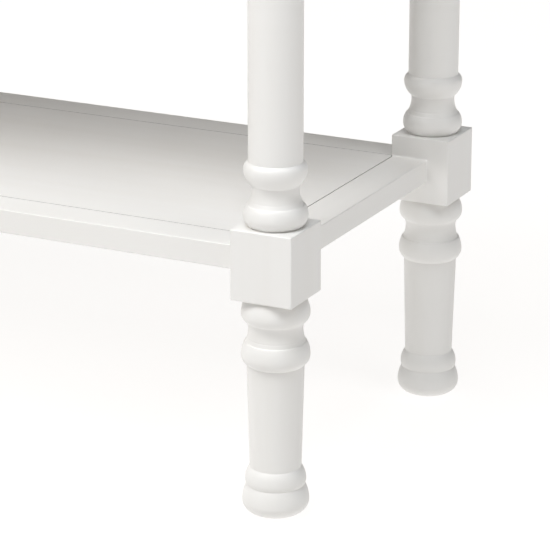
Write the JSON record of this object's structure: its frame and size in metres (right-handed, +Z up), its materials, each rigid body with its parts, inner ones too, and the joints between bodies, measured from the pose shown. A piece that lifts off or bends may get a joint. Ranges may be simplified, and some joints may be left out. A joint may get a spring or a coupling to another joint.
{
  "type": "console table",
  "caption": "Long narrow console table in satin white paint, with turned legs, square shelf blocks and a flush framed lower shelf.",
  "frame": {"origin": "on the floor under the middle of the table", "axes": "+X to the right along the table's length, +Y from the front to the back, +Z up"},
  "size_m": [1.219, 0.406, 0.762],
  "materials": {
    "painted_wood": "satin white paint over smooth turned and planed wood",
    "bare_pine": "planed, unfinished",
    "zinc_plated_steel": "bright zinc plating",
    "zinc_casting": "dull die-cast zinc",
    "glide_plastic": "moulded nylon"
  },
  "bodies": {
    "root": {"apron_back": "painted_wood", "apron_dowels": "bare_pine", "apron_front": "painted_wood", "apron_left": "painted_wood", "apron_right": "painted_wood", "batten_screws": "zinc_plated_steel", "bracket_nuts": "zinc_plated_steel", "bracket_screws": "zinc_plated_steel", "bracket_washers": "zinc_plated_steel", "cam_bolts": "zinc_plated_steel", "cam_nuts": "zinc_casting", "cleat_screws": "zinc_plated_steel", "corner_bracket_back_left": "zinc_plated_steel", "corner_bracket_back_right": "zinc_plated_steel", "corner_bracket_front_left": "zinc_plated_steel", "corner_bracket_front_right": "zinc_plated_steel", "cross_rail": "bare_pine", "glide_back_left": "glide_plastic", "glide_back_right": "glide_plastic", "glide_front_left": "glide_plastic", "glide_front_right": "glide_plastic", "hanger_bolts": "zinc_plated_steel", "leg_back_left": "painted_wood", "leg_back_right": "painted_wood", "leg_front_left": "painted_wood", "leg_front_right": "painted_wood", "shelf_batten_left": "painted_wood", "shelf_batten_right": "painted_wood", "shelf_dowels": "bare_pine", "shelf_panel": "painted_wood", "shelf_rail_back": "painted_wood", "shelf_rail_front": "painted_wood", "shelf_rail_left": "painted_wood", "shelf_rail_right": "painted_wood", "top_board": "painted_wood", "top_cleat_back": "bare_pine", "top_cleat_front": "bare_pine", "top_cleat_left": "bare_pine", "top_cleat_right": "bare_pine", "top_screws": "zinc_plated_steel"}
  },
  "joints": []
}
